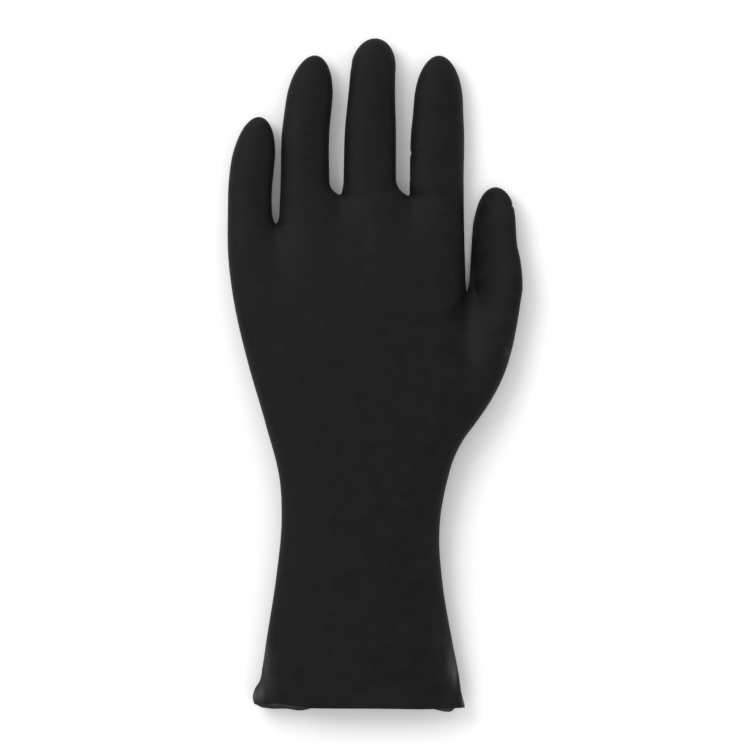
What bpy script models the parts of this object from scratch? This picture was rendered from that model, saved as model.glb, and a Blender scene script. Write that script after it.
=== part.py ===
"""Insulating rubber glove for the left hand, lying palm down, as an assembly of hollow rubber sections.

The real glove is one dipped skin. Here the skin is divided where it bends: stiff sections ride on hinges at
the wrist and at each crease of the fingers and thumb, and between two sections lies a flex zone, the short
sleeve of rubber that folds there. +Y runs to the fingertips, +X to the thumb and +Z out of the hand's back.
The floor is z = 0, under the palm, and the origin is on it at the middle of the glove's outline.
"""

import math
from collections import namedtuple

import bmesh
import bpy
from mathutils import Vector

MM = 0.001

# Driving dimensions, in millimetres.
WALL = 1.0  # rubber thickness
GAP = 0.3  # between neighbouring solids
RING_POINTS = 20  # points round every section of the skin
ROUNDNESS = 2.4  # exponent of the superellipse that a section follows
SEAT = 0.8  # height of a section's middle over the floor, as a share of its half height
BEND_ROOM = 0.5  # extra length left on the palm side of each crease
BACK_ROOM = 1.2  # half length of a flex zone on the back of the hand
OVERRUN = 6.0  # how far the hollow of the hand runs past its open ends

CUFF_LIP = 1.8  # how much further the palm side of the cuff reaches than its back
WRIST_Y = -62.0
WRIST_BEND = 60.0  # degrees, both ways
# Where a finger's root has a ring, along its length from its foot, and how much slimmer it is there.
ROOT_PLACES = ((-24.0, 5.0), (-9.0, 0.5), (0.0, 0.2))

# The body of the glove from the mouth of the cuff to the knuckles. Each row holds X and Y of the
# little-finger edge, X and Y of the thumb edge, and half the height.
BODY_ROWS = (
    (-49.0, -138.0, 35.8, -138.0, 10.0),
    (-45.4, -114.0, 32.2, -114.0, 11.0),
    (-41.4, -88.0, 28.2, -88.0, 12.0),
    (-38.9, -62.0, 27.0, -62.0, 12.8),
    (-40.0, -40.0, 30.6, -40.0, 13.4),
    (-45.8, -19.0, 34.8, -16.0, 14.0),
    (-52.0, 3.0, 36.8, 8.0, 14.0),
    (-58.0, 28.0, 37.2, 33.0, 13.0),
    (-60.4, 45.0, 36.8, 52.0, 10.8),
    (-59.0, 57.0, 34.5, 66.0, 8.6),
    (-55.5, 61.0, 31.5, 71.5, 6.0),
)

# The ball of the thumb. Each row holds X and Y of the section's middle, X and Y from there to its outer
# edge, and half the height.
THUMB_BALL_ROWS = (
    (13.0, -34.0, 15.0, -8.0, 10.0),
    (27.0, -10.0, 16.0, -10.0, 12.0),
    (39.5, 11.0, 15.5, -6.0, 11.4),
    (47.8, 27.0, 12.5, -1.2, 9.4),
)

# A digit runs straight from its foot, level with the web beside it, to its apex, with a slight sideways bow.
# The creases are given by their distance from the foot, and by how far each one bends, in degrees.
Digit = namedtuple("Digit", "foot apex bow foot_width tip_width dome half_height creases bends")
DIGITS = {
    "index": Digit((26.0, 75.0), (27.3, 132.9), 0.0, 11.0, 9.5, 16.0, 7.1, (6.7, 24.0, 41.0), (70, 85, 50)),
    "middle": Digit((-2.2, 75.0), (0.0, 140.0), 0.6, 11.0, 9.2, 11.0, 7.2, (6.7, 26.5, 46.0), (70, 85, 50)),
    "ring": Digit((-29.6, 75.0), (-25.3, 132.9), 1.0, 10.6, 9.4, 16.0, 6.8, (6.7, 24.0, 41.0), (70, 85, 50)),
    "little": Digit((-52.2, 63.0), (-47.8, 107.5), 1.1, 9.4, 8.7, 15.0, 6.0, (5.9, 19.6, 33.2), (70, 85, 50)),
    "thumb": Digit((50.2, 35.0), (50.0, 78.3), 0.4, 11.2, 9.0, 14.0, 7.6, (6.2, 24.8), (55, 70)),
}
SECTION_NAMES = {3: ("proximal", "middle", "tip"), 2: ("proximal", "tip")}
CREASE_NAMES = {3: ("base", "mid", "tip"), 2: ("base", "tip")}

# Colour, roughness and metallic of the rubber.
STIFF_FINISH = ((0.016, 0.016, 0.017, 1), 0.62, 0.0)
FLEX_FINISH = ((0.020, 0.020, 0.021, 1), 0.58, 0.0)


def clear_scene():
    for obj in list(bpy.data.objects):
        bpy.data.objects.remove(obj)


def new_collection(name):
    collection = bpy.data.collections.new(name)
    bpy.context.scene.collection.children.link(collection)
    return collection


def rubber(name, finish):
    colour, roughness, metallic = finish
    material = bpy.data.materials.new(name)
    material.use_nodes = True
    shader = material.node_tree.nodes["Principled BSDF"]
    shader.inputs["Base Color"].default_value = colour
    shader.inputs["Roughness"].default_value = roughness
    shader.inputs["Metallic"].default_value = metallic
    return material


def lerp(start, end, share):
    return start + (end - start) * share


def spline(before, here, there, after, t):
    """A value between `here` and `there` on the smooth curve through four values (Catmull-Rom)."""
    rest = 2 * before - 5 * here + 4 * there - after + t * (3 * (here - there) + after - before)
    return here + 0.5 * t * (there - before + t * rest)


def smoothed(rows, steps):
    """Rows on a smooth curve through the given ones, with `steps` stretches between each two."""
    padded = [rows[0], *rows, rows[-1]]
    result = []
    for group in zip(padded, padded[1:], padded[2:], padded[3:]):
        result += [[spline(*values, k / steps) for values in zip(*group)] for k in range(steps)]
    return result + [list(rows[-1])]


def body_rows(y_start, y_end):
    """The rows of the body from one Y to another, the first and last worked out where it is cut."""
    rows = smoothed(BODY_ROWS, 3)

    def at(y):
        for near, far in zip(rows, rows[1:]):
            if near[1] <= y <= far[1]:
                share = (y - near[1]) / (far[1] - near[1])
                return [lerp(a, b, share) for a, b in zip(near, far)]
        return rows[-1]

    inside = [row for row in rows if y_start + 0.5 < row[1] < y_end - 0.5]
    return [at(y_start), *inside, at(y_end)]


def superellipse():
    """Points of a unit superellipse, as (across, up) pairs that run from the thumb side over the back."""

    def power(value):
        return math.copysign(abs(value) ** (2 / ROUNDNESS), value)

    turns = [2 * math.pi * (k + 0.5) / RING_POINTS for k in range(RING_POINTS)]
    return [(power(math.cos(t)), power(math.sin(t))) for t in turns]


def section(middle, across, half_height, inset=0.0):
    """One closed ring of the skin across `middle`, flattened where it lies on the floor."""
    middle, across = Vector(middle).to_3d(), Vector(across).to_3d()
    across *= 1 - inset / across.length
    level = SEAT * half_height
    ring = []
    for sideways, up in superellipse():
        height = max(level + (half_height - inset) * up, inset)
        ring.append(middle + across * sideways + Vector((0, 0, height)))
    return ring


def body_section(row, inset=0.0):
    left, right = Vector(row[0:2]), Vector(row[2:4])
    return section((left + right) / 2, (right - left) / 2, row[4], inset)


def ball_section(row, inset=0.0):
    return section(row[0:2], row[2:4], row[4], inset)


def digit_frame(digit):
    """The digit's direction, its sideways direction, and its length, in the plane of the floor."""
    run = Vector(digit.apex) - Vector(digit.foot)
    along = run.normalized()
    return along, Vector((along.y, -along.x)), run.length


def digit_middle(digit, s):
    """The point on the floor under the digit's middle, at distance s from its foot."""
    along, side, length = digit_frame(digit)
    share = s / length
    return Vector(digit.foot) + along * s - side * digit.bow * 4 * share * (1 - share)


def digit_point(digit, s, sideways, up, inset=0.0):
    """The point of the digit's skin at distance s from its foot. The end is an elliptical dome."""
    _, side, length = digit_frame(digit)
    share = s / length
    width = lerp(digit.foot_width, digit.tip_width, share) - inset
    height = digit.half_height * lerp(1, 0.92, share) - inset
    into_dome = (s - (length - digit.dome)) / (digit.dome - inset)
    if into_dome > 0:
        closing = math.sqrt(max(0.0, 1 - into_dome**2))
        width *= closing
        height *= closing
    flat = digit_middle(digit, s) + side * width * sideways
    return Vector((flat.x, flat.y, max(SEAT * digit.half_height + height * up, inset)))


def digit_section(digit, s_palm, s_back, inset=0.0):
    """A flat ring that leans: it crosses the palm side at s_palm and the back at s_back."""
    level = SEAT * digit.half_height
    ring = []
    for sideways, up in superellipse():
        height = max(level + digit.half_height * up, 0) / (level + digit.half_height)
        ring.append(digit_point(digit, lerp(s_palm, s_back, height), sideways, up, inset))
    return ring


def skin_object(name, rings, collection, closed_start=False, closed_end=False):
    """A skin of quads over the rings, each joined to the next, with an optional face over either end."""
    mesh = bmesh.new()
    loops = [[mesh.verts.new(point * MM) for point in ring] for ring in rings]
    for here, there in zip(loops, loops[1:]):
        for k in range(len(here)):
            following = (k + 1) % len(here)
            mesh.faces.new((here[k], here[following], there[following], there[k]))
    if closed_start:
        mesh.faces.new(reversed(loops[0]))
    if closed_end:
        mesh.faces.new(loops[-1])
    bmesh.ops.recalc_face_normals(mesh, faces=mesh.faces)
    data = bpy.data.meshes.new(name)
    mesh.to_mesh(data)
    mesh.free()
    data.shade_smooth()
    obj = bpy.data.objects.new(name, data)
    collection.objects.link(obj)
    return obj


def set_origin(obj, point):
    """Moves the object's origin to the point and leaves its shape where it is."""
    offset = Vector(point) * MM
    for vertex in obj.data.vertices:
        vertex.co -= offset
    obj.location = offset


def sleeve(name, rings, collection, material, origin, closed_end=False):
    """A hollow section of the glove: an open skin, given the rubber's thickness inwards."""
    obj = skin_object(name, rings, collection, closed_end=closed_end)
    set_origin(obj, origin)
    wall = obj.modifiers.new("rubber wall", "SOLIDIFY")
    wall.thickness = WALL * MM
    wall.offset = -1
    wall.use_even_offset = True
    obj.data.materials.append(material)
    return obj


def shifted(line, distance):
    return (line[0] + distance, line[1] + distance)


def crease_lines(digit):
    """For each crease, (palm side, back) distances of its start and of its end from the digit's foot."""
    lines = []
    for crease, bend in zip(digit.creases, digit.bends):
        palm = SEAT * digit.half_height * math.tan(math.radians(bend / 2)) + BEND_ROOM
        lines.append(((crease - palm, crease - BACK_ROOM), (crease + palm, crease + BACK_ROOM)))
    return lines


def crease_axis_point(digit, crease):
    """Where the hinge of a crease crosses the middle of the digit."""
    return (*digit_middle(digit, crease), SEAT * digit.half_height)


def leaning_rings(digit, start, end):
    """Rings from one leaning line to the next, each line given as (palm side, back) distances."""
    middle = [lerp(a, b, 0.5) for a, b in zip(start, end)]
    return [digit_section(digit, *line) for line in (start, middle, end)]


def dome_rings(digit, start):
    """Rings from a leaning line to the digit's end, evenly turned over the dome."""
    dome_start = digit_frame(digit)[2] - digit.dome
    first = max(max(start) + 1.0, dome_start)
    first_turn = math.asin((first - dome_start) / digit.dome)
    turns = [lerp(first_turn, math.radians(82), k / 3) for k in range(4)]
    levels = [dome_start + digit.dome * math.sin(turn) for turn in turns]
    return [digit_section(digit, *start)] + [digit_section(digit, s, s) for s in levels]


def make_digit(name, digit, collection, stiff, flexible):
    """The flex zones and stiff sections of one finger or of the thumb, from its root outwards."""
    count = len(digit.creases)
    lines = crease_lines(digit)
    for k, (start, end) in enumerate(lines):
        origin = crease_axis_point(digit, digit.creases[k])
        flex_name = f"{name}_{CREASE_NAMES[count][k]}_flex"
        sleeve(flex_name, leaning_rings(digit, start, end), collection, flexible, origin)
        first = shifted(end, GAP)
        section_name = f"{name}_{SECTION_NAMES[count][k]}"
        if k + 1 < count:
            last = shifted(lines[k + 1][0], -GAP)
            sleeve(section_name, leaning_rings(digit, first, last), collection, stiff, origin)
        else:
            rings = dome_rings(digit, first)
            sleeve(section_name, rings, collection, stiff, origin, closed_end=True)


def root_rings(name, inset):
    """The part of a digit that belongs to the hand. It starts slimmer, deep in the palm."""
    digit = DIGITS[name]
    overrun = OVERRUN if inset else 0.0
    end = shifted(crease_lines(digit)[0][0], overrun - GAP)
    if name == "thumb":
        rings = [ball_section(row, inset) for row in smoothed(THUMB_BALL_ROWS, 2)]
    else:
        rings = [digit_section(digit, s, s, inset + slimmer) for s, slimmer in ROOT_PLACES]
    return rings + [digit_section(digit, *end, inset)]


def wrist_reach():
    """Half the length of the wrist's flex zone, so that the edges clear each other at full bend."""
    half_height = body_rows(WRIST_Y, WRIST_Y + 1)[0][4]
    return half_height * math.tan(math.radians(WRIST_BEND / 2)) + BEND_ROOM


def hand_shapes(cutters, inset):
    """Closed shapes of the palm, the finger roots and the ball of the thumb, all drawn in by `inset`."""
    kind = "hollow" if inset else "outside"
    start = WRIST_Y + wrist_reach() + GAP - (OVERRUN if inset else 0.0)
    end = BODY_ROWS[-1][1] - inset
    palm = [body_section(row, inset) for row in body_rows(start, end)]
    shapes = [skin_object(f"palm {kind}", palm, cutters, True, True)]
    for name in DIGITS:
        rings = root_rings(name, inset)
        shapes.append(skin_object(f"{name} root {kind}", rings, cutters, True, True))
    return shapes


def combine(shape, operation, others):
    """Adds one Boolean to the shape for each of the others."""
    for other in others:
        modifier = shape.modifiers.new(other.name, "BOOLEAN")
        modifier.operation = operation
        modifier.object = other


def make_hand(collection, cutters, material):
    """The hand of the glove with the roots of its five digits: a joined outside less a joined hollow."""
    outside = hand_shapes(cutters, 0.0)
    hollow = hand_shapes(cutters, WALL)
    hand = bpy.data.objects.new("hand_body", outside[0].data.copy())
    collection.objects.link(hand)
    combine(hollow[0], "UNION", hollow[1:])
    combine(hand, "UNION", outside[1:])
    combine(hand, "DIFFERENCE", hollow[:1])
    for shape in outside + hollow:
        shape.hide_render = True
        shape.display_type = "WIRE"
    hand.data.materials.append(material)


def make_cuff(collection, stiff, flexible):
    """The gauntlet and, between it and the hand, the flex zone of the wrist."""
    reach = wrist_reach()
    flex_rows = body_rows(WRIST_Y - reach, WRIST_Y + reach)
    origin = (0, WRIST_Y, SEAT * body_rows(WRIST_Y, WRIST_Y + 1)[0][4])
    sleeve("wrist_flex", [body_section(row) for row in flex_rows], collection, flexible, origin)
    cuff_rows = body_rows(BODY_ROWS[0][1], WRIST_Y - reach - GAP)
    rings = [body_section(row) for row in cuff_rows]
    height = max(point.z for point in rings[0])
    for point in rings[0]:
        point.y -= CUFF_LIP * (1 - point.z / height)
    sleeve("cuff_gauntlet", rings, collection, stiff, origin)


def main():
    clear_scene()
    glove = new_collection("Insulating glove")
    cutters = new_collection("Cutters")
    stiff = rubber("rubber", STIFF_FINISH)
    flexible = rubber("flex rubber", FLEX_FINISH)
    make_hand(glove, cutters, stiff)
    make_cuff(glove, stiff, flexible)
    for name, digit in DIGITS.items():
        make_digit(name, digit, glove, stiff, flexible)


main()
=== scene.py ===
"""Thin black rubber insulating glove for the left hand, palm down, fingertips to +Y, thumb to +X.

One smooth skin is worked out over the whole outline of the glove, as a height above and below a middle
plane, and is cut for the hinges into the cuff, the wrist, the hand and the lengths of the digits.
Lengths in the tables are in millimetres.
"""

import bmesh
import bpy
import numpy as np
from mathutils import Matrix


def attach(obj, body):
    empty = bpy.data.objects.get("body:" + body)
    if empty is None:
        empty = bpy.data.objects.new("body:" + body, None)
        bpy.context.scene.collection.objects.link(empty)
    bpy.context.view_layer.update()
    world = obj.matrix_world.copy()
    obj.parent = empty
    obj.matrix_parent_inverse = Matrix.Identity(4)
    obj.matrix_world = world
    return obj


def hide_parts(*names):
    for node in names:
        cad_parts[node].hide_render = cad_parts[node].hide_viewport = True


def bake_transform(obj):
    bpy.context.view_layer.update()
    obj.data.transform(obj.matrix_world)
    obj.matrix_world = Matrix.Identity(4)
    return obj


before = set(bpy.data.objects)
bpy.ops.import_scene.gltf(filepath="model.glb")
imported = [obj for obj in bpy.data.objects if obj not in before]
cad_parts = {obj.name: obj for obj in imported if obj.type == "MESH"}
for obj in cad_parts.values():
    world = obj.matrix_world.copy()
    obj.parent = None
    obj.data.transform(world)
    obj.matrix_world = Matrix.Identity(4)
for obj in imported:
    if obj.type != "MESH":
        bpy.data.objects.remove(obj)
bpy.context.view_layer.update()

bl_info = {
    "name": "Insulating glove",
    "version": (1, 0, 0),
    "blender": (4, 5, 0),
    "location": "3D View > Sidebar > Glove",
    "description": "Builds a dipped rubber insulating glove and its studio",
    "category": "Object",
}

MM = 0.001
HEM_Y = -137.0

# Rows of (y, x) up the two outer edges of the body, from the hem.
LITTLE_EDGE = (
    (-141, -49.2), (-137.5, -50.0), (-134.5, -50.8), (-130.5, -50.0), (-127, -47.9), (-122, -46.9),
    (-110, -45.1), (-85, -41.2), (-60, -38.8), (-44, -39.5),
    (-20, -45.5), (5, -52.7), (30, -58.5), (50, -61.0), (66, -61.2), (78, -60.9), (90, -59.6),
)
THUMB_EDGE = (
    (-141, 37.4), (-137, 37.2), (-132, 35.9), (-125, 34.9), (-110, 32.0), (-85, 27.9), (-68, 26.7),
    (-58, 27.3), (-44, 30.0),
    (-34, 33.0), (-27, 36.6), (-19, 42.5), (-10, 48.5), (0, 53.5), (10, 56.7), (24, 59.5), (36, 61.2),
)
# Rows of (x, y) across the mouth: the hem of the upper sheet, and that of the lower one where it shows.
UPPER_HEM = (
    (-52, -136.0), (-49.4, -136.6), (-46, -136.7), (-41, -136.1), (-38.5, -136.2), (-35, -136.9),
    (-30, -137.4), (-26, -138.0), (-22, -138.1), (-10, -138.15), (5, -138.25), (19, -138.5), (26, -138.4),
    (34, -138.1), (39, -138.0),
)
LOWER_HEM = (
    (-52, -136.0), (-49.9, -136.9), (-47.9, -138.3), (-45, -138.9), (-37, -139.2), (-32, -139.9),
    (-28, -139.3), (-24, -138.0), (-20, -137.6), (0, -137.6), (15, -137.8), (19, -138.3), (23.4, -139.0),
    (26.6, -139.8), (29.8, -140.3), (31.8, -140.0), (33, -138.9), (34.2, -138.0), (39, -138.0),
)
# Each digit: the Y of its apex, the length of its domed end, and rows of (y, middle x, half width).
DIGITS = {
    "little": (
        107.3, 18.3,
        ((56, -51.6, 9.7), (75, -52.1, 9.2), (87, -51.0, 9.1), (97, -49.6, 8.8), (107, -48.3, 8.8)),
    ),
    "ring": (
        132.9, 19.8,
        ((60, -29.2, 10.8), (83, -29.1, 10.1), (100, -28.9, 9.9), (113, -27.5, 9.7), (133, -25.0, 9.6)),
    ),
    "middle": (
        140.0, 12.5,
        ((60, -2.0, 11.3), (83, -2.15, 10.9), (100, -1.95, 10.7), (122, -1.1, 9.5), (140, 0.1, 9.3)),
    ),
    "index": (
        132.8, 19.8,
        (
            (35, 26.2, 11.6), (60, 26.0, 11.1), (83, 25.7, 11.2), (100, 26.0, 11.1), (110, 26.3, 10.4),
            (133, 26.6, 9.8),
        ),
    ),
    "thumb": (
        78.2, 18.5,
        (
            (33, 50.0, 11.4), (40, 50.3, 10.9), (47, 50.2, 10.3), (54, 49.7, 9.4), (62, 49.7, 8.9),
            (70, 50.1, 9.0), (78, 50.1, 9.5),
        ),
    ),
}
# Small nicks in a digit's outline: the side (-1 for -X), the Y, the reach along Y and the depth.
NICKS = {
    "index": ((-1, 92.2, 1.1, 0.45),),
    "thumb": ((1, 70.4, 0.8, 0.5),),
    "middle": ((-1, 128.5, 1.6, 0.25),),
}
FINGERS = ("little", "ring", "middle", "index")
# Each gap: the digits before and after it, the Y of its bottom, the height of its rounding, and how far its
# bottom leans to +X.
GAPS = (
    ("little", "ring", 62.8, 4.5, 0.2),
    ("ring", "middle", 75.0, 5.6, 1.3),
    ("middle", "index", 74.6, 6.8, 2.2),
    ("index", "thumb", 35.0, 7.0, -0.5),
)
LEAN_POWER = 2.5
LEAN_SETTLES = 0.6  # roundings below its bottom over which a gap's lean comes to rest
GAP_POWER = 1.7  # 2 would round a gap's bottom as an ellipse; less makes it more pointed
GAP_SOFTNESS = 1.6  # blunts the crease that runs down the hand from a gap's bottom
GAP_SOFT_BY = 5.0
# The Y from and to which an outer edge passes from the rows of the body to those of its digit.
LITTLE_JOINS = (70.0, 88.0)
THUMB_JOINS = (30.0, 42.0)
# The Y from and to which the gap at the thumb comes to count as an outer edge.
FINGER_PARTS = (36.0, 60.0)
THUMB_PARTS = (36.0, 48.0)
# From and to how far over the bottom of its higher gap a digit takes its shape from its own edges alone.
DIGIT_ALONE = (3.0, 14.0)
# Rows of (y, height) of the skin's middle plane over the floor, for the hand and for the thumb's side, and
# the X from and to which the one passes into the other.
MIDDLE_PLANE = (
    (-141, 6.6), (-120, 7.4), (-85, 8.8), (-62, 9.2), (-40, 9.8), (0, 10.4), (30, 10.2), (50, 9.2),
    (65, 7.8), (77, 7.0), (90, 6.6), (140, 6.2),
)
THUMB_SIDE = (26.0, 44.0)
THUMB_PLANE = ((-60, 9.2), (-30, 9.6), (0, 9.0), (20, 7.8), (35, 6.6), (50, 6.0), (78, 5.6))
# Small dents (below 0) and swellings: x, y, reach along X, reach along Y, and the share of the fullness.
DENTS = (
    (-51.5, 104.8, 3.0, 0.5, -0.35), (-25.0, 93.5, 2.4, 0.5, -0.12), (54.5, 9.5, 1.6, 2.2, 0.10),
    (-36.0, 61.0, 2.0, 1.2, 0.05), (43.0, 30.0, 3.0, 3.0, -0.15), (36.0, -133.5, 0.9, 5.0, -0.75),
    (33.0, -122.0, 1.2, 7.0, 0.12), (-47.0, -128.0, 1.0, 3.0, -0.2), (54.0, 70.6, 5.0, 0.5, -0.10),
    (17.0, 92.2, 2.5, 0.6, -0.12), (26.4, -109.5, 0.5, 2.6, -0.10), (27.7, -114.0, 0.5, 2.6, -0.12),
    (28.6, -119.0, 0.5, 2.8, -0.10), (31.2, -116.0, 1.8, 7.0, 0.08),
)
# Painted highlights: pale patches that stand in for light glinting off creases, dents and edges of the
# rubber: x, y, reach along X, reach along Y, and strength.
PAINTED_HIGHLIGHTS = (
    (31.6, -118.0, 1.8, 7.5, 0.20), (33.1, -124.0, 1.0, 4.5, 0.34), (-45.2, -118.0, 1.6, 12.0, 0.16),
    (29.5, -105.0, 1.0, 9.0, 0.05), (-47.0, -130.5, 1.2, 5.0, 0.16), (0.0, -134.0, 12.0, 2.5, 0.012),
    (-48.6, -132.5, 1.8, 3.2, 0.22), (-49.9, -133.5, 0.5, 2.0, 0.25), (36.6, -134.6, 0.45, 2.4, 1.0),
    (-42.0, -137.4, 3.0, 0.5, 0.5), (-34.0, -138.2, 2.5, 0.4, 0.3), (29.5, -138.9, 2.6, 0.5, 0.3),
    (-43.0, -125.0, 2.0, 9.0, 0.05), (27.0, -110.0, 2.5, 10.0, 0.03),
    (54.5, 9.5, 1.1, 1.8, 0.12), (42.0, 9.5, 4.5, 9.0, 0.022), (31.0, -5.0, 6.0, 5.0, 0.010),
    (-36.0, 61.2, 2.2, 0.9, 0.03), (-2.0, 60.0, 1.8, 9.0, 0.02), (-20.0, -110.0, 14.0, 20.0, 0.012),
    (40.0, 20.0, 3.0, 8.0, 0.015),
    (-51.5, 105.3, 2.6, 0.35, 0.10), (-25.0, 93.9, 2.0, 0.3, 0.04), (-33.0, 104.0, 2.5, 6.0, 0.02),
)

# Where each digit is cut: the Y of its root, then of each cut between two hinges.
CUTS = {
    "little": (64.2, 75.8, 89.5),
    "ring": (76.6, 90.0, 107.6),
    "middle": (76.6, 91.0, 111.2),
    "index": (76.6, 90.0, 107.6),
    "thumb": (36.6, 49.0),
}
# What a digit's bodies, creases and pieces are called, by how many hinges it has.
SEGMENTS = {3: ("proximal", "middle", "tip"), 2: ("proximal", "tip")}
CREASES = {3: ("base", "mid", "tip"), 2: ("base", "tip")}
PIECES = {3: ("root", "length", "end"), 2: ("root", "end")}
WRIST_ENDS = (-82.0, -42.0)
PARTING_Y = 20.0  # where the row in which the thumb leaves the hand meets the little finger's side
KNUCKLE_ENDS = (60.5, 76.0)  # the Y at either end of the row through the bottoms of the fingers' gaps

THUMB_TOP = 54.0  # the X where the thumb's tilt changes nothing
THUMB_TILT = 0.5  # rise of the thumb's skin for each millimetre away from the hand
TILT_FROM = (4.0, 36.0)  # the Y over which the tilt sets in
# The X from and to which the tilt sets in: below the first Y of TILT_NARROWS, and above its second.
TILT_NARROWS = (20.0, 36.0)
TILT_BELOW = (22.0, 52.0)
TILT_ABOVE = (37.4, 41.5)

REACH = 60.0  # how far from a gap the skin still dips towards it
MOUTH_PRESS = 0.62  # the share of its thickness that is left to the cuff at its mouth
PRESSED = (-140.0, -80.0)  # the Y from and to which that share grows to the whole
FLOOR_SOFTNESS = 0.8  # in square millimetres

COLUMNS = {"little": 22, "ring": 22, "middle": 24, "index": 24, "thumb": 26}
# Rows in each strip of the body, and its rough length.
STRIP_ROWS = {
    "cuff": (60, 56.0), "wrist": (40, 40.0), "palm": (80, 70.0), "finger": (14, 5.0), "thumb": (8, 1.6),
}
KNUCKLE_ROWS = 60
PARTING_SHARE = 0.7  # how much the columns crowd at the ends of the parting row, from 0 for even ones to 1
KNUCKLE_SHARE = 0.8  # how much the rows crowd at both ends of the strip from there to the knuckles
ROW_STEP = 0.9
APEX_CROWDING = 1.35  # rows in a domed end for one that a plain length would have
FEWEST_ROWS = 6
CUT_ROW = 0.12  # how far inside a cut one more row runs
WELD = 0.002  # points this close become one
THINNEST = 0.001  # edges this short are taken out

# In metres, apart from the camera's sensor in millimetres.
FLOOR_SIZE = 6
FLOOR_DROP = 0.0004
SENSOR = 36
FAR = 20

# The pale colour painted in as highlights, where light glints off the rubber.
HIGHLIGHT_PAINT = (0.17, 0.165, 0.165, 1)
INNER_DARK = (0.045, 0.043, 0.042)
INNER_PALE = (0.075, 0.07, 0.068)


def curve(rows, column=1):
    """A smooth function through the rows: cubic pieces whose slope at a row is that of its neighbours."""
    table = np.array(rows, float)
    y, v = table[:, 0], table[:, column]
    slope = np.gradient(v, y)

    def at(where):
        where = np.asarray(where, float)
        k = np.clip(np.searchsorted(y, where) - 1, 0, len(y) - 2)
        step = y[k + 1] - y[k]
        t = np.clip((where - y[k]) / step, 0, 1)
        lift = t * t * (3 - 2 * t)
        lean = step * (t * (1 - t) ** 2 * slope[k] - t * t * (1 - t) * slope[k + 1])
        return v[k] + (v[k + 1] - v[k]) * lift + lean

    return at


def smoothstep(value, low, high):
    """0 below low, 1 above high, and a smooth cubic rise between them."""
    t = np.clip((value - low) / (high - low), 0, 1)
    return t * t * (3 - 2 * t)


def mix(a, b, share):
    """The value that lies this share of the way from a to b."""
    return a + (b - a) * share


# The outline, as functions of Y.


def digit_shape(name, y):
    """The digit's middle, its half width before the dome, and its half width with the dome's ellipse."""
    apex, dome, rows = DIGITS[name]
    middle, half = curve(rows, 1)(y), curve(rows, 2)(y)
    for side, place, reach, depth in NICKS.get(name, ()):
        nick = depth * np.exp(-(((y - place) / reach) ** 2))
        middle, half = middle - side * nick / 2, half - nick / 2
    into = np.clip((y - apex + dome) / dome, 0, 1)
    return middle, half, half * np.sqrt(1 - into**2)


def gap_shape(gap, y):
    """The gap's middle, its half width without its rounded bottom, and its half width with it.

    The rounding takes the half width times the root of one minus the drop, both to GAP_POWER. The lean grows
    with the drop to LEAN_POWER, and below the bottom it settles as one minus e to the minus depth does.
    """
    before, after, bottom, rounding, lean = gap
    top = np.maximum(y, bottom + rounding)
    left_middle, _, left_half = digit_shape(before, top)
    right_middle, _, right_half = digit_shape(after, top)
    low, high = left_middle + left_half, right_middle - right_half
    below = np.maximum(bottom + rounding - y, 0) / rounding
    drop, beyond = np.minimum(below, 1), np.maximum(below - 1, 0)
    settled = LEAN_SETTLES * (1 - np.exp(-LEAN_POWER * beyond / LEAN_SETTLES))
    leaning = lean * (drop**LEAN_POWER + settled)
    rounded = (1 - drop**GAP_POWER) ** (1 / GAP_POWER)
    return (low + high) / 2 + leaning, (high - low) / 2, (high - low) / 2 * rounded


def little_edge(y):
    """The little finger's side: the body's rows, passing into the finger's middle less its half width."""
    middle, _, half = digit_shape("little", y)
    return mix(curve(LITTLE_EDGE)(y), middle - half, smoothstep(y, *LITTLE_JOINS))


def thumb_edge(y):
    """The thumb's side: the body's rows, passing into the thumb's middle and its half width."""
    middle, _, half = digit_shape("thumb", y)
    return mix(curve(THUMB_EDGE)(y), middle + half, smoothstep(y, *THUMB_JOINS))


def beside_gap(gap, side):
    """The edge along a gap: its middle less its half width for the side before it, -1, or with it for 1."""

    def edge(y):
        middle, _, half = gap_shape(gap, y)
        return middle + side * half

    return edge


EDGES = {
    "body": (little_edge, thumb_edge),
    "hand": (little_edge, beside_gap(GAPS[3], -1)),
    "little": (little_edge, beside_gap(GAPS[0], -1)),
    "ring": (beside_gap(GAPS[0], 1), beside_gap(GAPS[1], -1)),
    "middle": (beside_gap(GAPS[1], 1), beside_gap(GAPS[2], -1)),
    "index": (beside_gap(GAPS[2], 1), beside_gap(GAPS[3], -1)),
    "thumb": (beside_gap(GAPS[3], 1), thumb_edge),
}


# The height of the skin.


def gap_distance(gap, x, y):
    """Distance from the gap's edge: across it beside the gap, and round its bottom below it.

    Across and below are added to GAP_POWER and the root taken, less the gap's half width.
    """
    middle, half, _ = gap_shape(gap, y)
    bottom, rounding = gap[2:4]
    below = np.maximum(bottom + rounding - y, 0) * half / rounding
    across = np.hypot(x - middle, GAP_SOFTNESS * smoothstep(bottom - y, 0, GAP_SOFT_BY))
    away = (across**GAP_POWER + below**GAP_POWER) ** (1 / GAP_POWER)
    return np.maximum(away - half, 0)


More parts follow.
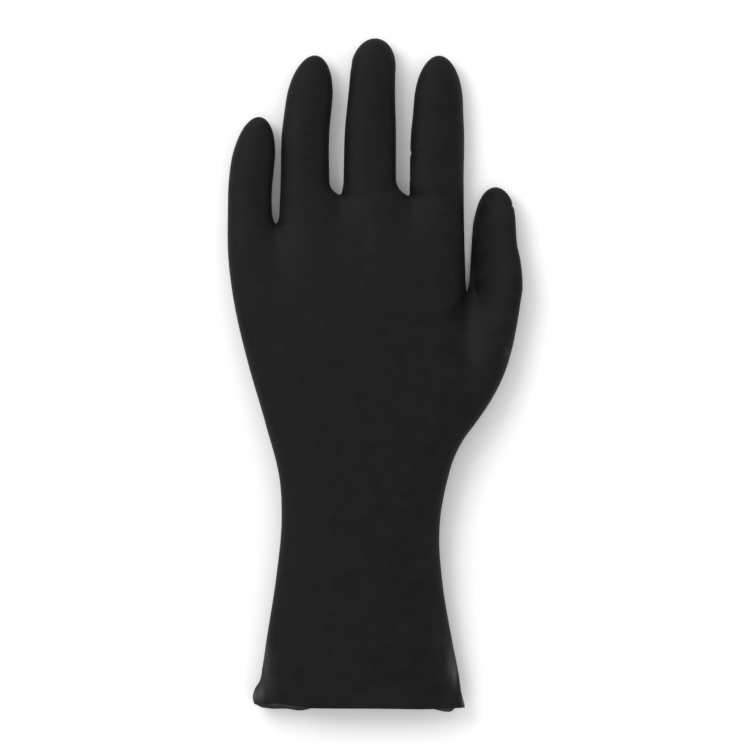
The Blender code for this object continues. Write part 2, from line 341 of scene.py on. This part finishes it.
def fullness(x, y, part):
    """How far inside the outline a point is: one over the sum of one over its distances to every edge.

    A gap counts less with its distance, and not at all past REACH. Up a digit this turns into the product of
    the distances to its two edges over its full width, which gives it an elliptical section and dome.
    """
    parts = THUMB_PARTS if part == "thumb" else FINGER_PARTS
    own_side = smoothstep(y, *parts)
    with np.errstate(divide="ignore", invalid="ignore"):
        near = 1 / np.maximum(x - little_edge(y), 0)
        far_share = np.ones_like(own_side) if part in ("body", "thumb") else 1 - own_side
        near = near + far_share / np.maximum(thumb_edge(y) - x, 0)
        for gap in GAPS:
            d = gap_distance(gap, x, y)
            fade = 2 * (1 - own_side) if gap[1] == "thumb" else 2
            near = near + np.clip(1 - d / REACH, 0, 1) ** fade / d
        inside = 1 / near
    inside = np.where(np.isfinite(inside), inside, 0)
    if part in DIGITS:
        left, right = EDGES[part]
        _, half, _ = digit_shape(part, y)
        alone = np.maximum((x - left(y)) * (right(y) - x), 0) / (2 * half)
        own_gaps = [gap for gap in GAPS if part in gap[:2] and (part != "index" or gap[1] != "thumb")]
        start = max(gap[2] for gap in own_gaps)
        low, high = DIGIT_ALONE
        inside = mix(inside, alone, smoothstep(y, start + low, start + high))
    return inside


def spots(x, y, table):
    """The sum of soft round spots: each its strength times e to the minus its distance squared."""
    total = np.zeros_like(x)
    for middle_x, middle_y, reach_x, reach_y, strength in table:
        total += strength * np.exp(-(((x - middle_x) / reach_x) ** 2) - ((y - middle_y) / reach_y) ** 2)
    return total


def skin_height(x, y, part, settings):
    """Half the thickness of the filled glove, less near the mouth, where the cuff is pressed.

    Its square is swell times fullness over one plus fullness by levelling.
    """
    inside = fullness(x, y, part) * (1 + spots(x, y, DENTS))
    squared = settings.swell * inside / (1 + inside / settings.levelling)
    pressed = mix(MOUTH_PRESS, 1.0, smoothstep(y, *PRESSED))
    return np.sqrt(squared) * pressed


def middle_plane(x, y):
    """The height of the skin's edge over the floor: that of the hand's rows, passing into the thumb's.

    The thumb tilts towards the hand, by THUMB_TILT times its distance from THUMB_TOP.
    """
    plane = mix(curve(MIDDLE_PLANE)(y), curve(THUMB_PLANE)(y), smoothstep(x, *THUMB_SIDE))
    narrowed = smoothstep(y, *TILT_NARROWS)
    low, high = (mix(below, above, narrowed) for below, above in zip(TILT_BELOW, TILT_ABOVE))
    over = smoothstep(x, low, high)
    return plane + THUMB_TILT * (x - THUMB_TOP) * over * smoothstep(y, *TILT_FROM)


def on_floor(z):
    """Heights pressed flat on the floor: half of z plus the root of z squared plus a small square."""
    return 0.5 * (z + np.sqrt(z * z + FLOOR_SOFTNESS))


# Strips of the skin. Each is a grid of (x, y), with columns from edge to edge and rows up the glove.


def strip(first, last, part, rows):
    """A grid from the first row of points to the last, which both run from edge to edge of the part.

    A point's share of the width glides from that of the first row to that of the last, its Y runs straight
    between theirs, and its X is that share of the way between the part's two edges at that Y.
    """
    left, right = EDGES[part]

    def share(row):
        x, y = row
        return (x - left(y)) / np.maximum(right(y) - left(y), 1e-9)

    t = np.asarray(rows)[:, None]
    y = mix(first[1][None, :], last[1][None, :], t)
    s = mix(share(first)[None, :], share(last)[None, :], smoothstep(t, 0, 1))
    return mix(left(y), right(y), s), y, part


def dense_ends(count):
    """Shares from 0 to 1 that crowd at both ends as half a cosine wave does."""
    return (1 - np.cos(np.linspace(0, np.pi, count + 1))) / 2


def dense_start(count):
    """Shares from 0 to 1 that crowd at 0: one minus a quarter of a cosine wave."""
    return 1 - np.cos(np.linspace(0, np.pi / 2, count + 1))


def dense_end(count):
    """Shares from 0 to 1 that crowd at 1: a quarter of a sine wave."""
    return np.sin(np.linspace(0, np.pi / 2, count + 1))


def evenly(count):
    """Shares from 0 to 1, the same step apart."""
    return np.linspace(0, 1, count + 1)


def with_cut_rows(shares, length, first=True, last=True):
    """The shares of a strip this long, with one more just inside each end that is a cut."""
    inset = CUT_ROW / length
    start = [shares[:1], [inset]] if first else [shares[:1]]
    end = [[1 - inset], shares[-1:]] if last else [shares[-1:]]
    return np.concatenate([*start, shares[1:-1], *end])


def level_row(part, y, shares):
    """The points of a level row, at these shares of the way between the part's two edges."""
    left, right = EDGES[part]
    y = np.full(len(shares), float(y))
    return mix(left(y), right(y), shares), y


def hem_row(rows, shares):
    """The points along a hem, which follows its own rows of (x, y) between the two edges of the body."""
    left, right = (edge(np.array([HEM_Y]))[0] for edge in EDGES["body"])
    y = curve(rows)(mix(left, right, shares))
    left, right = (edge(y) for edge in EDGES["body"])
    return mix(left, right, shares), y


def joined(parts):
    """Rows of points end to end, the shared point between two of them kept once."""
    x = np.concatenate([p[0][(1 if k else 0):] for k, p in enumerate(parts)])
    y = np.concatenate([p[1][(1 if k else 0):] for k, p in enumerate(parts)])
    return x, y


def parting_row():
    """The row where the thumb leaves the hand, as a piece for each of them.

    It rises from the little finger's side to the gap's bottom with the square of the way, and is level from
    there over the thumb.
    """
    bottom = GAPS[3][2]
    crotch = gap_shape(GAPS[3], np.array([bottom]))[0][0]
    across = sum(COLUMNS[name] for name in FINGERS)
    r = mix(evenly(across), dense_ends(across), PARTING_SHARE)
    y = mix(PARTING_Y, bottom, r**2)
    hand = (mix(little_edge(y), crotch, r), y)
    r = dense_ends(COLUMNS["thumb"])
    y = np.full(len(r), bottom)
    thumb = (mix(crotch, thumb_edge(y), r), y)
    return hand, thumb


def knuckle_row():
    """The row through the bottoms of the gaps between the fingers, as one piece for each finger."""
    ends = [KNUCKLE_ENDS[0], *(gap[2] for gap in GAPS[:3]), KNUCKLE_ENDS[1]]
    places = [little_edge(np.array([ends[0]]))[0]]
    places += [gap_shape(gap, np.array([gap[2]]))[0][0] for gap in GAPS[:3]]
    places += [EDGES["hand"][1](np.array([ends[-1]]))[0]]
    pieces = []
    for k, name in enumerate(FINGERS):
        r = dense_ends(COLUMNS[name])
        y = mix(ends[k], ends[k + 1], r)
        x = mix(places[k], places[k + 1], r)
        pieces.append((x, y))
    return pieces


def body_strips():
    """The strips of the cuff, of the wrist and of the hand with its web."""
    hand_row, thumb_row = parting_row()
    columns = len(hand_row[0]) + len(thumb_row[0]) - 2
    wrist_start, wrist_end = (level_row("body", y, dense_ends(columns)) for y in WRIST_ENDS)
    count, length = STRIP_ROWS["cuff"]
    rows = with_cut_rows(dense_start(count), length, first=False)
    cuff = []
    for side, hem in ((1, UPPER_HEM), (-1, LOWER_HEM)):
        cuff.append((*strip(hem_row(hem, dense_ends(columns)), wrist_start, "body", rows), side))
    count, length = STRIP_ROWS["wrist"]
    wrist = [strip(wrist_start, wrist_end, "body", with_cut_rows(evenly(count), length))]
    count, length = STRIP_ROWS["palm"]
    rows = with_cut_rows(dense_end(count), length, last=False)
    palm = strip(wrist_end, joined([hand_row, thumb_row]), "body", rows)
    knuckles = knuckle_row()
    rows = mix(evenly(KNUCKLE_ROWS), dense_ends(KNUCKLE_ROWS), KNUCKLE_SHARE)
    upper = strip(hand_row, joined(knuckles), "hand", rows)
    roots = []
    for name, first in zip((*FINGERS, "thumb"), (*knuckles, thumb_row)):
        count, length = STRIP_ROWS["finger" if name in FINGERS else "thumb"]
        last = level_row(name, CUTS[name][0], dense_ends(COLUMNS[name]))
        roots.append(strip(first, last, name, with_cut_rows(dense_start(count), length, first=False)))
    return cuff, wrist, [palm, upper, *roots]


def digit_strips(name):
    """The strips of a digit, one for each hinge. The last runs on over the dome to the apex."""
    apex = DIGITS[name][0]
    left, right = EDGES[name]
    shares = dense_ends(COLUMNS[name])
    places = [*CUTS[name], apex]
    strips = []
    for low, high in zip(places, places[1:]):
        rows = near_ends(high - low) if high < apex else near_apex(high - low)
        y = np.repeat((low + rows)[:, None], len(shares), axis=1)
        strips.append([(mix(left(y), right(y), shares[None, :]), y, name)])
    return strips


def near_ends(length):
    """Rows about ROW_STEP apart, and one more just inside each cut, so that the shading runs through it."""
    rows = evenly(max(FEWEST_ROWS, round(length / ROW_STEP))) * length
    return np.concatenate([rows[:1], [CUT_ROW], rows[1:-1], [length - CUT_ROW], rows[-1:]])


def near_apex(length):
    """Rows that crowd towards a digit's apex as a quarter of a cosine wave does."""
    rows = dense_end(round(APEX_CROWDING * length / ROW_STEP)) * length
    return np.concatenate([rows[:1], [CUT_ROW], rows[1:]])


def skin_object(name, strips, settings):
    """A mesh of the strips: for each a sheet over the middle plane and one under it, sewn along the edges.

    A strip that names a side, 1 for above or -1 for below, gives only that sheet. An open edge, which is a
    cut or the hem, stays sharp, so that the wall doesn't bend the shading there.
    """
    points, faces, start = [], [], 0
    for x, y, part, *only in strips:
        height = skin_height(x, y, part, settings)
        height[:, 0] = height[:, -1] = 0
        plane = middle_plane(x, y)
        rows, columns = x.shape
        index = np.arange(rows * columns).reshape(rows, columns)
        corners = (index[:-1, :-1], index[:-1, 1:], index[1:, 1:], index[1:, :-1])
        quads = np.stack([c.ravel() for c in corners], axis=1)
        for side in only or (1, -1):
            order = quads if side == 1 else quads[:, ::-1]
            z = on_floor(plane + side * height)
            points.append(np.stack([x.ravel(), y.ravel(), z.ravel()], axis=1))
            faces.append(order + start)
            start += rows * columns
    mesh = bpy.data.meshes.new(name)
    points = np.concatenate(points)
    mesh.from_pydata(points * MM, [], np.concatenate(faces))
    # The painted highlights: for each point, the share of the pale colour that stands in for light glinting
    # off the rubber.
    highlight_mask = mesh.attributes.new("Painted highlights", "FLOAT", "POINT")
    highlight_mask.data.foreach_set("value", np.minimum(spots(points[:, 0], points[:, 1], PAINTED_HIGHLIGHTS), 1))
    sewn = bmesh.new()
    sewn.from_mesh(mesh)
    bmesh.ops.remove_doubles(sewn, verts=sewn.verts, dist=WELD * MM)
    bmesh.ops.dissolve_degenerate(sewn, edges=sewn.edges, dist=THINNEST * MM)
    for edge in sewn.edges:
        edge.smooth = not edge.is_boundary
    for face in sewn.faces:
        face.smooth = True
    sewn.to_mesh(mesh)
    sewn.free()
    obj = bpy.data.objects.new(name, mesh)
    bpy.context.scene.collection.objects.link(obj)
    return obj


# Materials.


def add_node(tree, kind, inputs=(), **values):
    """Adds a node with these values, and gives each named input a value or a link from another socket."""
    node = tree.nodes.new(kind)
    for key, value in values.items():
        setattr(node, key, value)
    for socket, value in dict(inputs).items():
        if isinstance(value, bpy.types.NodeSocket):
            tree.links.new(value, node.inputs[socket])
        else:
            node.inputs[socket].default_value = value
    return node


def grain_group():
    """The finish that dipping leaves: cloudy patches and a fine skin grain."""
    found = bpy.data.node_groups.get("Dipped rubber grain")
    if found:
        return found
    group = bpy.data.node_groups.new("Dipped rubber grain", "ShaderNodeTree")
    for name, default in (("Cloud size", 150.0), ("Grain size", 1300.0)):
        socket = group.interface.new_socket(name, in_out="INPUT", socket_type="NodeSocketFloat")
        socket.default_value = default
    for name in ("Clouds", "Grain"):
        group.interface.new_socket(name, in_out="OUTPUT", socket_type="NodeSocketFloat")
    given = group.nodes.new("NodeGroupInput").outputs
    out = group.nodes.new("NodeGroupOutput")
    place = add_node(group, "ShaderNodeTexCoord").outputs["Object"]
    swirl_inputs = {
        "Vector": place, "Scale": given["Cloud size"], "Detail": 6.0, "Roughness": 0.68, "Distortion": 0.1,
    }
    swirl = add_node(group, "ShaderNodeTexNoise", swirl_inputs)
    cloud_inputs = {"Value": swirl.outputs["Fac"], "From Min": 0.3, "From Max": 0.7}
    clouds = add_node(group, "ShaderNodeMapRange", cloud_inputs)
    grain_inputs = {"Vector": place, "Scale": given["Grain size"], "Detail": 3.0, "Roughness": 0.55}
    grain = add_node(group, "ShaderNodeTexNoise", grain_inputs)
    group.links.new(clouds.outputs[0], out.inputs["Clouds"])
    group.links.new(grain.outputs["Fac"], out.inputs["Grain"])
    return group


def rubber_material(name, dark, pale, roughness):
    """Matte rubber: its colour and gloss drift with the clouds, under the fine grain of the skin.

    A painted highlight mixes in its pale colour by the mesh's own attribute of painted highlights times the
    clouds.
    """
    material = bpy.data.materials.new(name)
    material.use_nodes = True
    tree = material.node_tree
    shader = tree.nodes["Principled BSDF"]
    grain = add_node(tree, "ShaderNodeGroup", node_tree=grain_group()).outputs
    tint_inputs = {"A": (*dark, 1), "B": (*pale, 1), "Factor": grain["Clouds"]}
    tint = add_node(tree, "ShaderNodeMix", tint_inputs, data_type="RGBA")
    # Painted highlights: the attribute that says where the pale colour stands in for glints of light.
    highlight_mask = add_node(tree, "ShaderNodeAttribute", attribute_name="Painted highlights")
    patchy = add_node(tree, "ShaderNodeMapRange", {"Value": grain["Clouds"], "To Min": 0.75, "To Max": 1.25})
    broken_inputs = {0: highlight_mask.outputs["Fac"], 1: patchy.outputs[0]}
    broken = add_node(tree, "ShaderNodeMath", broken_inputs, operation="MULTIPLY")
    # The base colour with the painted highlights mixed in.
    highlighted_inputs = {"A": tint.outputs["Result"], "B": HIGHLIGHT_PAINT, "Factor": broken.outputs[0]}
    highlighted = add_node(tree, "ShaderNodeMix", highlighted_inputs, data_type="RGBA")
    tree.links.new(highlighted.outputs["Result"], shader.inputs["Base Color"])
    shader.inputs["Diffuse Roughness"].default_value = 1.0
    gloss_inputs = {"Value": grain["Clouds"], "To Min": roughness - 0.05, "To Max": roughness + 0.09}
    gloss = add_node(tree, "ShaderNodeMapRange", gloss_inputs)
    tree.links.new(gloss.outputs[0], shader.inputs["Roughness"])
    fine = add_node(tree, "ShaderNodeBump", {"Height": grain["Grain"], "Strength": 0.25, "Distance": 0.0001})
    broad_inputs = {
        "Height": grain["Clouds"], "Strength": 0.3, "Distance": 0.0004, "Normal": fine.outputs[0],
    }
    broad = add_node(tree, "ShaderNodeBump", broad_inputs)
    tree.links.new(broad.outputs[0], shader.inputs["Normal"])
    shader.inputs["Specular IOR Level"].default_value = 0.12
    return material


def material_once(name, *values):
    """The rubber of this name, made the first time that it is asked for."""
    return bpy.data.materials.get(name) or rubber_material(name, *values)


def finish_skin(obj, settings):
    """Gives the skin its rubber and its wall, with the paler inner face on the inside."""
    outside = material_once("Black rubber", settings.dark, settings.pale, 0.58)
    inside = material_once("Inner face", INNER_DARK, INNER_PALE, 0.7)
    for material in (outside, inside):
        obj.data.materials.append(material)
    wall = obj.modifiers.new("Wall", "SOLIDIFY")
    wall.thickness = settings.wall
    wall.offset = -1
    wall.material_offset = 1


class GloveSkinSettings(bpy.types.PropertyGroup):
    wall: bpy.props.FloatProperty(
        name="Wall",
        description="Thickness of the rubber",
        default=0.8 * MM,
        unit="LENGTH",
        precision=4,
    )
    swell: bpy.props.FloatProperty(
        name="Swell",
        description="How full the skin stands near its edges, in millimetres",
        default=12.0,
        min=1.0,
    )
    levelling: bpy.props.FloatProperty(
        name="Levelling",
        description="How far from an edge the skin levels off, in millimetres",
        default=17.0,
        min=1.0,
    )
    dark: bpy.props.FloatVectorProperty(
        name="Dark",
        description="Colour of the rubber's darker clouds",
        subtype="COLOR",
        default=(0.0034, 0.0033, 0.0035),
    )
    pale: bpy.props.FloatVectorProperty(
        name="Pale",
        description="Colour of the rubber's paler clouds",
        subtype="COLOR",
        default=(0.0094, 0.0091, 0.0094),
    )


class GloveStageSettings(bpy.types.PropertyGroup):
    floor: bpy.props.FloatVectorProperty(
        name="Floor", description="Colour of the floor", subtype="COLOR", default=(0.95, 0.95, 0.95)
    )
    key: bpy.props.FloatProperty(
        name="Key light", description="Power of the large light", default=7.4, unit="POWER"
    )
    low: bpy.props.FloatProperty(
        name="Low light",
        description="Power of the low light behind the fingertips",
        default=4.5,
        unit="POWER",
    )
    fill: bpy.props.FloatProperty(
        name="Fill", description="Strength of the light from all round", default=0.92
    )
    height: bpy.props.FloatProperty(
        name="Camera height",
        description="Height of the camera over the floor",
        default=1.6,
        unit="LENGTH",
    )
    view: bpy.props.FloatProperty(
        name="View width",
        description="Width of floor that the camera takes in",
        default=0.3131,
        unit="LENGTH",
    )


def add_floor(colour):
    """A plain matte floor, a little below the skin so that the two never meet."""
    bpy.ops.mesh.primitive_plane_add(size=FLOOR_SIZE, location=(0, 0, -FLOOR_DROP))
    floor = bpy.context.active_object
    floor.name = "Floor"
    paper = bpy.data.materials.new("Pale paper")
    paper.use_nodes = True
    shader = paper.node_tree.nodes["Principled BSDF"]
    shader.inputs["Base Color"].default_value = (*colour, 1)
    shader.inputs["Roughness"].default_value = 0.9
    shader.inputs["Specular IOR Level"].default_value = 0.1
    floor.data.materials.append(paper)


def add_fill(scene, strength):
    """White light from all round."""
    world = bpy.data.worlds.new("Studio")
    world.use_nodes = True
    background = world.node_tree.nodes["Background"]
    background.inputs["Strength"].default_value = strength
    background.inputs["Color"].default_value = (1, 1, 1, 1)
    scene.world = world


def add_light(scene, name, power, size, place, turn):
    """A square soft light, with its turn in degrees."""
    light = bpy.data.lights.new(name, "AREA")
    light.energy = power
    light.size = size
    lamp = bpy.data.objects.new(name, light)
    lamp.location = place
    lamp.rotation_euler = [np.radians(angle) for angle in turn]
    scene.collection.objects.link(lamp)


def add_camera(scene, height, view):
    """A camera straight above the origin that takes in this width of the floor."""
    lens = bpy.data.cameras.new("Camera")
    lens.sensor_width = SENSOR
    lens.lens = SENSOR * height / view
    lens.clip_end = FAR
    camera = bpy.data.objects.new("Camera", lens)
    camera.location = (0, 0, height)
    scene.collection.objects.link(camera)
    scene.camera = camera


class GLOVE_OT_stage(bpy.types.Operator):
    """Adds the pale floor, the soft lights from the upper left and the camera straight above"""

    bl_idname = "glove.stage"
    bl_label = "Stage"

    def execute(self, context):
        settings = context.scene.glove_stage
        add_floor(settings.floor)
        add_fill(context.scene, settings.fill)
        add_light(context.scene, "Key", settings.key, 0.7, (-0.75, 0.6, 1.0), (-31, -36, 0))
        add_light(context.scene, "Low light", settings.low, 0.8, (-0.3, 1.5, 0.6), (-68, 0, 11))
        add_camera(context.scene, settings.height, settings.view)
        context.scene.view_settings.view_transform = "Standard"
        return {"FINISHED"}


class GLOVE_OT_body(bpy.types.Operator):
    """Adds the cuff, the bending wrist, and the hand with the roots of its digits"""

    bl_idname = "glove.body"
    bl_label = "Cuff, wrist and hand"

    def execute(self, context):
        settings = context.scene.glove_skin
        cuff_strips, wrist_strips, hand_strips = body_strips()
        cuff = skin_object("cuff", cuff_strips, settings)
        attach(cuff, "cuff")
        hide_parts("cuff_gauntlet")
        wrist = skin_object("wrist", wrist_strips, settings)
        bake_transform(wrist)
        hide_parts("wrist_flex")
        hand = skin_object("hand", hand_strips, settings)
        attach(hand, "hand")
        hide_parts("hand_body")
        for piece in (cuff, wrist, hand):
            finish_skin(piece, settings)
        return {"FINISHED"}


class GLOVE_OT_digits(bpy.types.Operator):
    """Adds the four fingers and the thumb, each in one length for each of its hinges"""

    bl_idname = "glove.digits"
    bl_label = "Fingers and thumb"

    def execute(self, context):
        settings = context.scene.glove_skin
        for name in DIGITS:
            strips = digit_strips(name)
            count = len(strips)
            bodies = ["hand", *(f"{name}_{segment}" for segment in SEGMENTS[count])]
            for k, piece_strips in enumerate(strips):
                piece = skin_object(f"{name}_{PIECES[count][k]}", piece_strips, settings)
                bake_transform(piece)
                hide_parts(bodies[k + 1], f"{name}_{CREASES[count][k]}_flex")
                finish_skin(piece, settings)
        return {"FINISHED"}


class GLOVE_PT_panel(bpy.types.Panel):
    bl_label = "Insulating glove"
    bl_idname = "GLOVE_PT_panel"
    bl_space_type = "VIEW_3D"
    bl_region_type = "UI"
    bl_category = "Glove"

    def draw(self, context):
        layout = self.layout
        for group in (context.scene.glove_skin, context.scene.glove_stage):
            for key in group.__annotations__:
                layout.prop(group, key)
        for operator in (GLOVE_OT_stage, GLOVE_OT_body, GLOVE_OT_digits):
            layout.operator(operator.bl_idname)


CLASSES = (
    GloveSkinSettings, GloveStageSettings, GLOVE_OT_stage, GLOVE_OT_body, GLOVE_OT_digits, GLOVE_PT_panel,
)


def register():
    for cls in CLASSES:
        bpy.utils.register_class(cls)
    bpy.types.Scene.glove_skin = bpy.props.PointerProperty(type=GloveSkinSettings)
    bpy.types.Scene.glove_stage = bpy.props.PointerProperty(type=GloveStageSettings)


def unregister():
    del bpy.types.Scene.glove_stage
    del bpy.types.Scene.glove_skin
    for cls in reversed(CLASSES):
        bpy.utils.unregister_class(cls)


def main():
    register()
    bpy.ops.glove.stage()
    bpy.ops.glove.body()
    bpy.ops.glove.digits()


if __name__ == "__main__":
    main()
